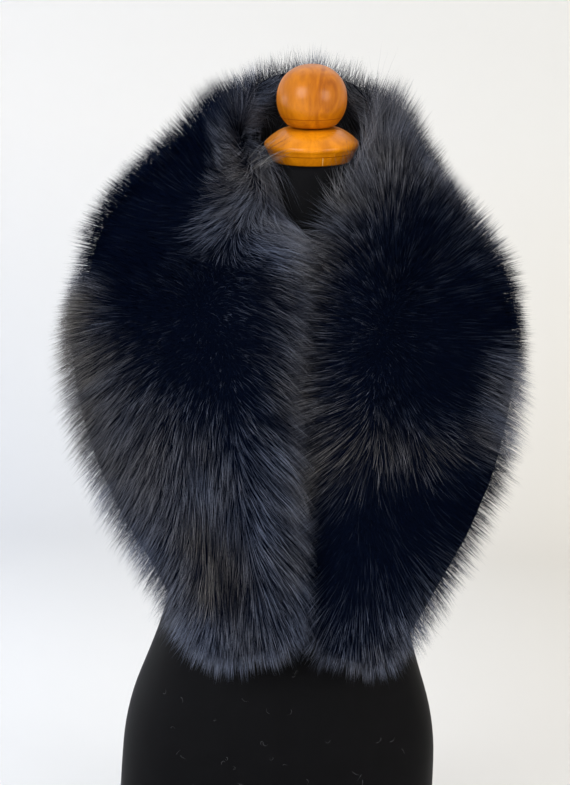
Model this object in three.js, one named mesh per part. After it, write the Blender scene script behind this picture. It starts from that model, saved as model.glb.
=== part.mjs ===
// A detachable long-haired fur collar, draped on a limbless tabletop dress form with a turned wooden neck cap.
// Millimetres, +Z up, the wearer's front faces -Y. The origin lies on the form's flat base, a little in front
// of the form's axis.
// The collar is two equal pelts sewn at the centre back. Each runs from the nape over the shoulder, down the
// chest to a rounded hem, and the two meet edge to edge down the front. A pelt and its standing hair make one
// thick pad: the inner face lies on the form, and the outer face is where the tips of the hair reach.
import * as THREE from "three";
import { mergeVertices } from "three/addons/utils/BufferGeometryUtils.js";

// Driving sizes of the dress form
const NECK_TOP = 781; // height of the neck's flat top, which carries the wooden cap
const NECK_SLANT_BACK = Math.tan(THREE.MathUtils.degToRad(15)); // the neck's top rises towards the back
const NECK_SLANT_SIDE = Math.tan(THREE.MathUtils.degToRad(3.2)); // and towards the wearer's left
const SLANT_FROM = 725; // height where the neck begins to slant
const FORM_SEGMENTS = 44;
const FORM_RINGS = 40;

// Driving sizes of the wooden cap and knob
const CAP_RADIUS = 51.5;
const CAP_HEIGHT = 35;
const CAP_FOOT_RADIUS = 42;
const CAP_FOOT_CHAMFER = 0.9;
const CAP_BAND_RADIUS = 48; // the band flares from the foot to here
const CAP_BAND_HEIGHT = 9.9;
const CAP_RIM_ROUND = 5; // radius of the rounded rim above the band
const CAP_RIM_UP = 17.5; // height of the rim's centre
const CAP_RIM_ARC = [-0.9, 0.75]; // radians, from the band to the shoulder
const CAP_TOP_RADIUS = 29; // the flat top, where the knob stands
const CAP_SHOULDER_BULGE = 2; // how far the sloping shoulder is rounded out
const PROFILE_STEPS = 8; // on each round stretch of the cap's profile
const KNOB_RADIUS = 38;
const KNOB_HALF_HEIGHT = 36.5;
const KNOB_FOOT = 30.2; // the knob is cut flat this far under its centre
const KNOB_SQUARENESS = 2.12; // 2 would be a ball, more is squarer
const KNOB_STEPS = 20;
const TURNED_SEGMENTS = 30;

// Driving sizes of the collar
const SEAM_GAP = 0.3; // between pieces that meet
const REST_GAP = 2.8; // between the pelt and the form that it lies on
const REST_STEP = 0.25; // the pelt is moved off the form in steps of this
const NECK_CLEARANCE_RADIUS = 54; // keeps the standing collar clear of the cap and knob
const NECK_CLEARANCE_FROM = 761; // and from this height up
const TUCK = 27; // how far the hair wraps round an edge, behind the pelt
const LEAST_PILE = 0.8; // the hair keeps this share of its height where the form pushes the pelt out
const SECTION_STEPS = 17; // from the inner edge to the outer edge, on each face
const STATIONS = 40; // sections from the centre back to the hem
const HEM_STEPS = 5;
const HEM_LENGTH = 46; // the rounded end below the last row
const PAD_SQUARENESS = 2.6; // 2 would make the pad's section an ellipse, more makes it fuller
const EDGE_CROWDING = 0.6; // share of the section's points that crowd towards its two edges
const FOLD_WIDTHS = 3; // a pelt is about as wide as this many of its row spacings
const PARTING_SHIFT = 19; // the two fronts meet this far off centre at the hem
const PARTING_GAP = 0.8; // between the two fronts, which curve past each other here
const PARTING_FROM = 560;
const PARTING_SPAN = 240;

// The form's level sections: half the width, and the depth in front of and behind its axis
const formRows = [
  { up: 0, half: 163, front: 96, back: 110 },
  { up: 5, half: 168, front: 101, back: 115 },
  { up: 60, half: 171, front: 104, back: 120 },
  { up: 115, half: 171, front: 104, back: 119 },
  { up: 155, half: 170, front: 101, back: 113 },
  { up: 197, half: 163, front: 96, back: 104 },
  { up: 240, half: 148, front: 89, back: 94 },
  { up: 284, half: 134, front: 83, back: 86 },
  { up: 335, half: 126, front: 81, back: 82 },
  { up: 385, half: 131, front: 90, back: 86 },
  { up: 440, half: 143, front: 112, back: 92 },
  { up: 500, half: 154, front: 124, back: 97 },
  { up: 560, half: 162, front: 112, back: 101 },
  { up: 610, half: 172, front: 95, back: 98 },
  { up: 642, half: 177, front: 81, back: 88 },
  { up: 662, half: 170, front: 73, back: 79 },
  { up: 678, half: 145, front: 67, back: 71 },
  { up: 694, half: 108, front: 61, back: 63 },
  { up: 712, half: 76, front: 55, back: 56 },
  { up: 735, half: 57, front: 50, back: 50 },
  { up: 760, half: 49, front: 47, back: 47 },
  { up: NECK_TOP, half: 46, front: 45.5, back: 45.5 },
];
const FORM_AXIS_BACK = 4; // the form's axis lies this far behind the origin
const FORM_SQUARENESS = 2.25;

// The collar's rows, from the centre back to the hem. "inner" is the edge by the neck and the front opening,
// "outer" the free edge: out from the middle, back and up. "pile" is the height of the hair off the pelt.
const leftRows = [
  { inner: [SEAM_GAP / 2, 82, 897], outer: [SEAM_GAP / 2, 142, 648], pile: 54 },
  { inner: [53, 78, 882], outer: [112, 136, 640], pile: 54 },
  { inner: [74, 47, 843], outer: [190, 104, 630], pile: 50 },
  { inner: [72, 4, 812], outer: [236, 56, 614], pile: 48 },
  { inner: [55, -38, 770], outer: [246, 8, 584], pile: 52 },
  { inner: [20, -84, 702], outer: [236, -34, 532], pile: 56 },
  { inner: [1.2, -118, 628], outer: [218, -66, 468], pile: 58 },
  { inner: [0.8, -142, 536], outer: [189, -90, 404], pile: 56 },
  { inner: [0.6, -148, 448], outer: [154, -106, 352], pile: 52 },
  { inner: [0.6, -140, 368], outer: [130, -110, 312], pile: 46 },
  { inner: [1.2, -126, 302], outer: [114, -108, 284], pile: 38 },
];
const rightRows = [
  { inner: [SEAM_GAP / 2, 82, 897], outer: [SEAM_GAP / 2, 142, 648], pile: 54 },
  { inner: [50, 78, 876], outer: [106, 136, 640], pile: 50 },
  { inner: [68, 48, 838], outer: [170, 106, 628], pile: 43 },
  { inner: [67, 6, 808], outer: [211, 58, 616], pile: 42 },
  { inner: [54, -36, 772], outer: [225, 10, 596], pile: 47 },
  { inner: [20, -84, 702], outer: [223, -34, 544], pile: 54 },
  { inner: [1.2, -118, 628], outer: [204, -66, 480], pile: 58 },
  { inner: [0.8, -142, 536], outer: [171, -90, 412], pile: 56 },
  { inner: [0.6, -148, 448], outer: [135, -106, 356], pile: 52 },
  { inner: [0.6, -140, 368], outer: [111, -110, 314], pile: 46 },
  { inner: [1.2, -126, 302], outer: [97, -108, 286], pile: 38 },
];

// The collar's largest folds: soft troughs (depth below 0) and ridges that run between two places, each given
// as its row and its share of the way across from the inner edge. "reach" is the half width in rows.
const leftFolds = [
  { from: [5.3, 0.05], to: [3.7, 0.8], reach: 0.34, depth: -17 },
  { from: [4.5, 0.12], to: [2.9, 0.75], reach: 0.36, depth: 9 },
  { from: [6.3, 0.1], to: [5.3, 0.85], reach: 0.36, depth: -8 },
  { from: [6.6, 0.15], to: [8.6, 0.3], reach: 0.3, depth: 7 },
  { from: [7.3, 0.45], to: [9.3, 0.5], reach: 0.28, depth: -6 },
  { from: [1.2, 0.55], to: [2.2, 0.6], reach: 0.4, depth: 6 },
];
const rightFolds = [
  { from: [2.9, 0.15], to: [2.5, 0.95], reach: 0.3, depth: -16 },
  { from: [5.4, 1.0], to: [6.7, 0.45], reach: 0.28, depth: -15 },
  { from: [6.0, 1.0], to: [6.9, 0.6], reach: 0.26, depth: 8 },
  { from: [7.1, 0.9], to: [8.0, 0.1], reach: 0.36, depth: -11 },
  { from: [5.3, 0.45], to: [6.2, 0.5], reach: 0.5, depth: 6 },
  { from: [1.1, 0.5], to: [1.9, 0.6], reach: 0.4, depth: 6 },
];

const jersey = new THREE.MeshStandardMaterial({ color: 0x1b1b1e, roughness: 0.92, metalness: 0 });
const varnishedWood = new THREE.MeshStandardMaterial({ color: 0xc8731a, roughness: 0.3, metalness: 0 });
const blackFur = new THREE.MeshStandardMaterial({ color: 0x14161c, roughness: 0.7, metalness: 0 });

const smooth = (share) => THREE.MathUtils.smoothstep(share, 0, 1);

// A closed mesh from points and triangles, with every face turned outwards.
function closedGeometry(points, triangles) {
  const edgeA = new THREE.Vector3();
  const edgeB = new THREE.Vector3();
  const volume = triangles.reduce((sum, [a, b, c]) => {
    edgeA.copy(points[b]);
    edgeB.copy(points[c]);
    return sum + points[a].dot(edgeA.cross(edgeB));
  }, 0);
  const facing = volume < 0 ? triangles.map(([a, b, c]) => [a, c, b]) : triangles;
  const geometry = new THREE.BufferGeometry().setFromPoints(points);
  geometry.setIndex(facing.flat());
  geometry.computeVertexNormals();
  return geometry;
}

// The form's section at a height, from a smooth curve through its rows.
const formCurve = new THREE.CatmullRomCurve3(
  formRows.map((row) => new THREE.Vector3(row.half, row.front, row.back)),
);
formCurve.curveType = "catmullrom";
const heightCurve = new THREE.CatmullRomCurve3(
  formRows.map((row) => new THREE.Vector3(row.up, 0, 0)),
);
heightCurve.curveType = "catmullrom";

// The smooth curve dips a little below the base between its first two rows, so it is stopped there.
const heightAt = (share) => Math.max(0, heightCurve.getPoint(share).x);

function formSection(share) {
  const size = formCurve.getPoint(share);
  return { up: heightAt(share), half: size.x, front: size.y, back: size.z };
}

// The share of the way up the form's curve at which it reaches a height.
function shareAtHeight(up) {
  let low = 0;
  let high = 1;
  for (let step = 0; step < 24; step += 1) {
    const middle = (low + high) / 2;
    if (heightAt(middle) < up) low = middle;
    else high = middle;
  }
  return (low + high) / 2;
}

function superellipse(angle, power) {
  const side = Math.cos(angle);
  const depth = Math.sin(angle);
  return [
    Math.sign(side) * Math.abs(side) ** (2 / power),
    Math.sign(depth) * Math.abs(depth) ** (2 / power),
  ];
}

// How far the slanting neck lifts a point of the form.
function neckLift(x, y, up) {
  const share = smooth((up - SLANT_FROM) / (NECK_TOP - SLANT_FROM));
  return share * (NECK_SLANT_BACK * (y - FORM_AXIS_BACK) + NECK_SLANT_SIDE * x);
}

function dressForm() {
  const points = [];
  const triangles = [];
  for (let ring = 0; ring <= FORM_RINGS; ring += 1) {
    const { up, half, front, back } = formSection(ring / FORM_RINGS);
    for (let step = 0; step < FORM_SEGMENTS; step += 1) {
      const [side, depth] = superellipse((2 * Math.PI * step) / FORM_SEGMENTS, FORM_SQUARENESS);
      const x = half * side;
      const y = FORM_AXIS_BACK + (depth < 0 ? front : back) * depth;
      points.push(new THREE.Vector3(x, y, up + neckLift(x, y, up)));
    }
  }
  for (let ring = 0; ring < FORM_RINGS; ring += 1) {
    for (let step = 0; step < FORM_SEGMENTS; step += 1) {
      const next = (step + 1) % FORM_SEGMENTS;
      const [a, b] = [ring * FORM_SEGMENTS + step, ring * FORM_SEGMENTS + next];
      const [c, d] = [b + FORM_SEGMENTS, a + FORM_SEGMENTS];
      triangles.push([a, b, c], [a, c, d]);
    }
  }
  const lastRing = FORM_RINGS * FORM_SEGMENTS;
  for (let step = 1; step < FORM_SEGMENTS - 1; step += 1) {
    triangles.push([0, step + 1, step]);
    triangles.push([lastRing, lastRing + step, lastRing + step + 1]);
  }
  const mesh = new THREE.Mesh(closedGeometry(points, triangles), jersey);
  mesh.name = "dress_form";
  return mesh;
}

// True where a point lies in the form, in the space round its cap and knob, or closer than the gap to them.
function isInsideForm(point, gap) {
  if (point.z < 0) return false;
  const section = point.z > NECK_CLEARANCE_FROM
    ? { half: NECK_CLEARANCE_RADIUS, front: NECK_CLEARANCE_RADIUS, back: NECK_CLEARANCE_RADIUS }
    : formSection(shareAtHeight(point.z));
  const depth = point.y - FORM_AXIS_BACK;
  const reach = (depth < 0 ? section.front : section.back) + gap;
  const across = Math.abs(point.x) / (section.half + gap);
  const along = Math.abs(depth) / reach;
  return across ** FORM_SQUARENESS + along ** FORM_SQUARENESS < 1;
}

// The wooden parts turn about the neck's slanting axis.
function neckHardware() {
  const group = new THREE.Group();
  const axis = new THREE.Vector3(-NECK_SLANT_SIDE, -NECK_SLANT_BACK, 1).normalize();
  group.quaternion.setFromUnitVectors(new THREE.Vector3(0, 0, 1), axis);
  group.position.set(0, FORM_AXIS_BACK, NECK_TOP).addScaledVector(axis, SEAM_GAP);

  const rimCentre = CAP_RADIUS - CAP_RIM_ROUND;
  const rim = new THREE.EllipseCurve(rimCentre, CAP_RIM_UP, CAP_RIM_ROUND, CAP_RIM_ROUND, ...CAP_RIM_ARC);
  const rimEnd = rim.getPoint(1);
  const top = new THREE.Vector2(CAP_TOP_RADIUS, CAP_HEIGHT);
  const bulge = rimEnd.clone().lerp(top, 0.5).addScalar(CAP_SHOULDER_BULGE);
  const shoulder = new THREE.QuadraticBezierCurve(rimEnd, bulge, top);
  const capProfile = [
    new THREE.Vector2(0, 0),
    new THREE.Vector2(CAP_FOOT_RADIUS, 0),
    new THREE.Vector2(CAP_FOOT_RADIUS + CAP_FOOT_CHAMFER, CAP_FOOT_CHAMFER),
    new THREE.Vector2(CAP_BAND_RADIUS, CAP_BAND_HEIGHT),
    ...rim.getPoints(PROFILE_STEPS),
    ...shoulder.getPoints(PROFILE_STEPS).slice(1),
    new THREE.Vector2(0, CAP_HEIGHT),
  ];
  group.add(turned("neck_cap", capProfile, 0));

  const knobProfile = [new THREE.Vector2(0, -KNOB_FOOT)];
  const startAngle = -Math.asin((KNOB_FOOT / KNOB_HALF_HEIGHT) ** (KNOB_SQUARENESS / 2));
  for (let step = 0; step <= KNOB_STEPS; step += 1) {
    const angle = startAngle + ((Math.PI / 2 - startAngle) * step) / KNOB_STEPS;
    const [across, up] = superellipse(angle, KNOB_SQUARENESS);
    const radius = step === KNOB_STEPS ? 0 : KNOB_RADIUS * across;
    knobProfile.push(new THREE.Vector2(radius, KNOB_HALF_HEIGHT * up));
  }
  group.add(turned("neck_knob", knobProfile, CAP_HEIGHT + SEAM_GAP + KNOB_FOOT));
  return group;
}

function turned(name, profile, up) {
  const lathe = new THREE.LatheGeometry(profile, TURNED_SEGMENTS);
  lathe.deleteAttribute("normal");
  lathe.deleteAttribute("uv");
  const geometry = mergeVertices(lathe, 1e-3);
  geometry.rotateX(Math.PI / 2);
  geometry.computeVertexNormals();
  const mesh = new THREE.Mesh(geometry, varnishedWood);
  mesh.name = name;
  mesh.position.z = up;
  return mesh;
}

// How much the folds raise the hair at a row and a share of the way across.
function foldHeight(folds, row, across) {
  const here = new THREE.Vector2(row, across * FOLD_WIDTHS);
  return folds.reduce((sum, fold) => {
    const from = new THREE.Vector2(fold.from[0], fold.from[1] * FOLD_WIDTHS);
    const along = new THREE.Vector2(fold.to[0], fold.to[1] * FOLD_WIDTHS).sub(from);
    const offset = here.clone().sub(from);
    const share = THREE.MathUtils.clamp(offset.dot(along) / along.lengthSq(), 0, 1);
    const distance = offset.addScaledVector(along, -share).length();
    return sum + fold.depth * Math.exp(-((distance / fold.reach) ** 2) / 2);
  }, 0);
}

// One pelt. side is -1 on the viewer's left and 1 on the viewer's right, seen from the front.
function pelt(name, side, rows, folds) {
  const curveThrough = (pick) => {
    const curve = new THREE.CatmullRomCurve3(rows.map((row) => new THREE.Vector3(...pick(row))));
    curve.curveType = "catmullrom";
    return curve;
  };
  const innerCurve = curveThrough((row) => row.inner);
  const outerCurve = curveThrough((row) => row.outer);
  const pileCurve = curveThrough((row) => [row.pile, 0, 0]);
  const lastRow = rows.length - 1;
  const middleAt = (share) => innerCurve.getPoint(share).lerp(outerCurve.getPoint(share), 0.5);

  // The pad's frame at a share of its length: its two edges, the way along it, and the way off the pelt.
  function frameAt(share) {
    const inner = innerCurve.getPoint(share);
    const outer = outerCurve.getPoint(share);
    const step = 0.5 / lastRow;
    const along = middleAt(Math.min(share + step, 1)).sub(middleAt(Math.max(share - step, 0))).normalize();
    const off = along.clone().cross(outer.clone().sub(inner)).normalize();
    off.x *= smooth(share * lastRow); // the seam lies in the plane of symmetry
    return { inner, outer, along, off: off.normalize(), pile: pileCurve.getPoint(share).x };
  }

  // A point off the pelt's base, on its own side of the form and shifted with the parting of the fronts.
  function placed(base, off, height) {
    const point = base.clone().addScaledVector(off, height);
    const parting = PARTING_SHIFT * smooth((PARTING_FROM - point.z) / PARTING_SPAN);
    const out = Math.max(point.x, point.y < 0 ? PARTING_GAP / 2 : SEAM_GAP / 2);
    return new THREE.Vector3(side * out + parting, point.y, point.z);
  }

  // One closed section: out over the hair from the inner edge, and back along the pelt.
  // scale and advance shrink it and carry it down for the rounded hem.
  function section(share, scale, advance) {
    const { inner, outer, along, off, pile } = frameAt(share);
    const middle = inner.clone().lerp(outer, 0.5);
    const faces = { hair: [], leather: [] };
    for (let step = 0; step <= SECTION_STEPS; step += 1) {
      const even = 1 - (2 * step) / SECTION_STEPS;
      const crowded = Math.cos((Math.PI * step) / SECTION_STEPS);
      const reach = THREE.MathUtils.lerp(even, crowded, EDGE_CROWDING);
      const height = Math.max(0, 1 - Math.abs(reach) ** PAD_SQUARENESS) ** 0.5;
      const across = (1 - reach * scale) / 2;
      const base = inner.clone().lerp(outer, across).addScaledVector(along, advance);
      let rest = -TUCK * height * scale;
      while (isInsideForm(placed(base, off, rest), REST_GAP) && rest < 2 * pile) rest += REST_STEP;
      const folded = foldHeight(folds, share * lastRow, across);
      const loft = (pile + folded) * height * scale;
      const top = Math.max(loft, rest + LEAST_PILE * (pile + folded) * height * scale);
      faces.leather.push(placed(base, off, rest));
      faces.hair.push(placed(base, off, top));
    }
    return [...faces.hair, ...faces.leather.slice(1, -1).reverse()];
  }

  const rings = [];
  for (let station = 0; station <= STATIONS; station += 1) rings.push(section(station / STATIONS, 1, 0));
  for (let step = 1; step < HEM_STEPS; step += 1) {
    const angle = (Math.PI / 2) * (step / HEM_STEPS);
    rings.push(section(1, Math.cos(angle), HEM_LENGTH * Math.sin(angle)));
  }

  const around = 2 * SECTION_STEPS;
  const points = rings.flat();
  const triangles = [];
  for (let ring = 0; ring < rings.length - 1; ring += 1) {
    for (let step = 0; step < around; step += 1) {
      const next = (step + 1) % around;
      const [a, b] = [ring * around + step, ring * around + next];
      triangles.push([a, b, b + around], [a, b + around, a + around]);
    }
  }
  // A flat end joins the hair side to the leather side, step by step.
  const closeEnd = (first, reverse) => {
    for (let step = 0; step < SECTION_STEPS; step += 1) {
      const [hair, hairNext] = [first + step, first + step + 1];
      const leather = first + ((around - step) % around);
      const leatherNext = first + around - step - 1;
      const faces = [];
      if (step > 0) faces.push([hair, leather, hairNext]);
      if (step < SECTION_STEPS - 1) faces.push([leather, leatherNext, hairNext]);
      faces.forEach(([a, b, c]) => triangles.push(reverse ? [a, c, b] : [a, b, c]));
    }
  };
  closeEnd(0, false);
  closeEnd((rings.length - 1) * around, true);
  const mesh = new THREE.Mesh(closedGeometry(points, triangles), blackFur);
  mesh.name = name;
  return mesh;
}

const collarOnForm = new THREE.Group();
collarOnForm.name = "fur_collar_on_dress_form";
collarOnForm.add(dressForm());
collarOnForm.add(neckHardware());
collarOnForm.add(pelt("fur_left", -1, leftRows, leftFolds));
collarOnForm.add(pelt("fur_right", 1, rightRows, rightFolds));

export default collarOnForm;
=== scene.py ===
# A detachable long-haired fur collar on a black dress form with a turned wooden cap and knob.
# Metres, +Z up, and the wearer's front faces -Y. The solids are the fixed frame: all pieces follow them.
import math

import bmesh
import bpy
import numpy as np
from mathutils import Matrix, Vector
from mathutils.bvhtree import BVHTree


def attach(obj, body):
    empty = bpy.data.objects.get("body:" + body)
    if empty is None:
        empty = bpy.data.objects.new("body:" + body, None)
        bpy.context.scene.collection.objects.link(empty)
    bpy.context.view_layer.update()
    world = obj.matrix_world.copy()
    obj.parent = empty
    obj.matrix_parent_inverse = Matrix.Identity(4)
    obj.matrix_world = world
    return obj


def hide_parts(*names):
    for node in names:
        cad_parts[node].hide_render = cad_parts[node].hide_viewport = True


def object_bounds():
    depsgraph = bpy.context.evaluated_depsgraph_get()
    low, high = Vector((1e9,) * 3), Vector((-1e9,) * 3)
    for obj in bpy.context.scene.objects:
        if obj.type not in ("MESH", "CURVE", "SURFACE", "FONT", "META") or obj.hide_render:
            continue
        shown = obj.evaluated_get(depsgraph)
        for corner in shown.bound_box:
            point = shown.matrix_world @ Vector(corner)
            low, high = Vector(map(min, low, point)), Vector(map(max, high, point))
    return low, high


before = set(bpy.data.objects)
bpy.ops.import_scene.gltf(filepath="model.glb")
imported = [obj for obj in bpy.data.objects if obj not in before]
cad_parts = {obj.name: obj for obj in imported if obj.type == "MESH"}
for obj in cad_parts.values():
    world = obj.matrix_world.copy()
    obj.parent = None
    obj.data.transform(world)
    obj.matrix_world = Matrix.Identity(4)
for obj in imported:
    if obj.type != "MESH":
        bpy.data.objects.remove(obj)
cad_box = [list(corner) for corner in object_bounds()]

# Camera, set from the photograph
CAMERA_TARGET = Vector((-0.0146, 0.0, 0.530))
CAMERA_DISTANCE = 1.6
CAMERA_ELEVATION = math.radians(3.0)
CAMERA_ROLL = math.radians(3.2)
VIEW_HEIGHT = 0.850  # what the picture's height spans at the target
SENSOR_HEIGHT = 36.0

# The pelts: how finely they are made, and how they end and part
STATIONS = 64
ACROSS = 30
HEM_STEPS = 5
HEM_LENGTH = 0.046
HEM_SHARE = 0.85  # of the solid's rounded end, that the underfur and the leather reach into
HEM_FROM = 0.965  # the share of the length where their own rounded end starts
TAIL_FROM = 0.90  # the share of the length where the hair starts to shorten, and over how much of it
TAIL_SPAN = 0.065
PARTING_SHIFT = 0.019  # how far the parting swings to the viewer's right, from where and over what height
PARTING_FROM = 0.560
PARTING_SPAN = 0.240
RAY_START = 0.11  # how far out the rays start that find a pelt's faces

# The leather, a thin sheet on the form
LEATHER_ACROSS = 17
LEATHER_INSETS = (0.13, 0.15)  # shares of a pelt's width that it keeps from the inner and the outer edge
LEATHER_THICKNESS = 0.0012
LEATHER_CLEARANCE = 0.0003

# The underfur, a closed body over the leather
UNDERFUR_INSETS = (0.020, 0.015)
UNDERFUR_GAP = 0.0004
THINNEST_UNDERFUR = 0.0005
PILE_DEPTH = 0.007  # from the underfur out to the solid's face
UNDERFUR_SHARE = 0.3  # of the room for hair, that the underfur takes where the pelt is thin
HEM_HEIGHT = 0.35  # of its height, that is left at the very end of the hem
EDGE_CROWDING = 0.4  # how far its points draw together towards the two edges
EDGE_SWELL = 0.005  # how far it is rounded out at its outer edge

# The hair
HAIR_RISE = 0.026  # how far the tips stand off the underfur, where there is room
HAIR_LENGTHS = (0.018, 0.066)
LONGEST_HAIR = 1.4  # the longest hair's share of the usual length
OVERHANG = (0.03, 0.0092)  # how far the tips may pass the solids: a share of each side, and metres
HAIR_ANGLES = (8, 72)  # how steeply a lying hair leaves the skin, and what standing adds, in degrees
# How a hair's root and its tip lean: the share off the skin and the share along it, each as what a lying hair
# has and what standing adds
ROOT_LEAN = ((0.45, 0.75), (1.0, -0.6))
TIP_LEAN = ((-0.42, 1.35), (1.25, -1.0))
DROOP = (0.0, 0.0, -0.06)
MOST_LOCKS = 40000.0  # a square metre
HAIR_BENDS = 2
FIRST_SEED = 5
# What the hair tree asks for
HAIR_INPUTS = {
    "Where": "String",
    "Hairs per square metre": "Float",
    "Lock spacing": "Float",
    "Lock pull": "Float",
    "Thickness": "Float",
    "Length": "Float",
    "Shortest": "Float",
    "Unruliness": "Float",
    "Material": "Material",
    "Bends": "Int",
    "Seed": "Int",
}
# What a grown hair needn't carry
USED_UP = (
    "root", "up", "pull", "stray", "reach", "rim", "comb", "stand", "length", "front_cover", "back_cover",
)
NECK_HEIGHTS = (0.66, 0.80)  # between them, no hair crosses the neck's opening
STANDING_EDGE_FROM = 0.74  # above it, the pelt's inner edge is the collar's standing edge
CAP_HEIGHTS = (0.765, 0.835)  # between them, the hair of that edge is longer

# The wisps over the cap, and the lint
THREAD_ANGLES = (0, 2.094, 4.189)  # thirds of a turn: a thread has three sides
WISPS = 46
WISP_POINTS = 6
WISP_RADIUS = 0.00022
WISP_ROOT = np.array((-0.060, -0.046, 0.772))
WISP_SPREAD = np.array((0.010, 0.004, 0.014))
WISP_REACH = np.array((0.032, -0.006, 0.018))
WISP_ARCH = np.array((-0.002, -0.006, 0.004))
LINT_FIBRES = 48
LINT_POINTS = 7
LINT_RADIUS = 0.00017
LINT_LIFT = 0.0004
LINT_ACROSS = (-0.13, 0.13)  # where the fibres lie, across and up
LINT_UP = (0.07, 0.275)

# The wood: heights are along the axis on which the cap and the knob are turned
WOOD_BASE = (0.0, 0.004, 0.7813)  # the middle of the cap's foot
WOOD_AXIS = (-0.0538, -0.2579, 0.9647)
BAND_LINE = 0.0099  # the top of the cap's straight band
KNOB_FROM = 0.0356
KNOB_LINE = 0.0468
LINE_WIDTH = 0.0006
CRACK_ACROSS = 0.0114  # how far the small crack in the band is from the middle

# Colours
BLACK_HAIR = (0.0011, 0.0028, 0.0102, 1)
# The blue and the brown sheen that is painted into the hair's colour where it lies flat
BLUE_PAINTED_SHEEN = (0.142, 0.171, 0.258, 1)
BROWN_PAINTED_SHEEN = (0.200, 0.184, 0.168, 1)
BLACK_WOOL = ((0.0007, 0.0015, 0.0050, 1), (0.0018, 0.0032, 0.0090, 1))
BLACK_SUEDE = ((0.004, 0.004, 0.005, 1), (0.014, 0.0135, 0.0145, 1))
BLACK_JERSEY = ((0.0012, 0.0012, 0.0015, 1), (0.0030, 0.0030, 0.0037, 1))
AMBER = ((0.25, 0.058, 0.001, 1), (0.64, 0.21, 0.002, 1))
DARK_AMBER = (0.20, 0.040, 0.001, 1)
BARE_WOOD = (0.75, 0.45, 0.16, 1)
PALE_LINT = (0.12, 0.12, 0.13, 1)
# The wall's and the floor's colours, cool on the left and warm on the right as painted light, and the floor's
# a painted shade darker
WALL = ((0.91, 0.905, 0.905, 1), (0.835, 0.815, 0.775, 1))
FLOOR = ((0.745, 0.775, 0.84, 1), (0.79, 0.74, 0.655, 1))

# The stage
DISH_SIDES = 64
DISH_STEPS = 8
DISH_FLOOR = 2.4
DISH_BEND = 0.9
DISH_TOP = 3.2
FLOOR_HEIGHT = -0.0008
LIT_PLACE = Vector((0, 0, 0.55))  # what the lights point at

# The pelts' inner and outer edge from the centre back to the hem, in metres: out from the middle, back and up
LEFT_EDGES = [
    ((0.0002, 0.082, 0.897), (0.0002, 0.142, 0.648)),
    ((0.053, 0.078, 0.882), (0.112, 0.136, 0.640)),
    ((0.074, 0.047, 0.843), (0.190, 0.104, 0.630)),
    ((0.072, 0.004, 0.812), (0.236, 0.056, 0.614)),
    ((0.055, -0.038, 0.770), (0.246, 0.008, 0.584)),
    ((0.020, -0.084, 0.702), (0.236, -0.034, 0.532)),
    ((0.0012, -0.118, 0.628), (0.218, -0.066, 0.468)),
    ((0.0008, -0.142, 0.536), (0.189, -0.090, 0.404)),
    ((0.0006, -0.148, 0.448), (0.154, -0.106, 0.352)),
    ((0.0006, -0.140, 0.368), (0.130, -0.110, 0.312)),
    ((0.0012, -0.126, 0.302), (0.114, -0.108, 0.284)),
]
RIGHT_EDGES = [
    ((0.0002, 0.082, 0.897), (0.0002, 0.142, 0.648)),
    ((0.050, 0.078, 0.876), (0.106, 0.136, 0.640)),
    ((0.068, 0.048, 0.838), (0.170, 0.106, 0.628)),
    ((0.067, 0.006, 0.808), (0.211, 0.058, 0.616)),
    ((0.054, -0.036, 0.772), (0.225, 0.010, 0.596)),
    ((0.020, -0.084, 0.702), (0.223, -0.034, 0.544)),
    ((0.0012, -0.118, 0.628), (0.204, -0.066, 0.480)),
    ((0.0008, -0.142, 0.536), (0.171, -0.090, 0.412)),
    ((0.0006, -0.148, 0.448), (0.135, -0.106, 0.356)),
    ((0.0006, -0.140, 0.368), (0.111, -0.110, 0.314)),
    ((0.0012, -0.126, 0.302), (0.097, -0.108, 0.286)),
]

# What the pelt's natural lay counts for beside the strokes, and what it adds to their sums
NATURAL_WEIGHT = 0.2
NATURAL_SUMS = {"stand": 0.09, "painted_sheen": 0.08, "brown": 0.06}
STROKE_WEIGHT = 3
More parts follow.
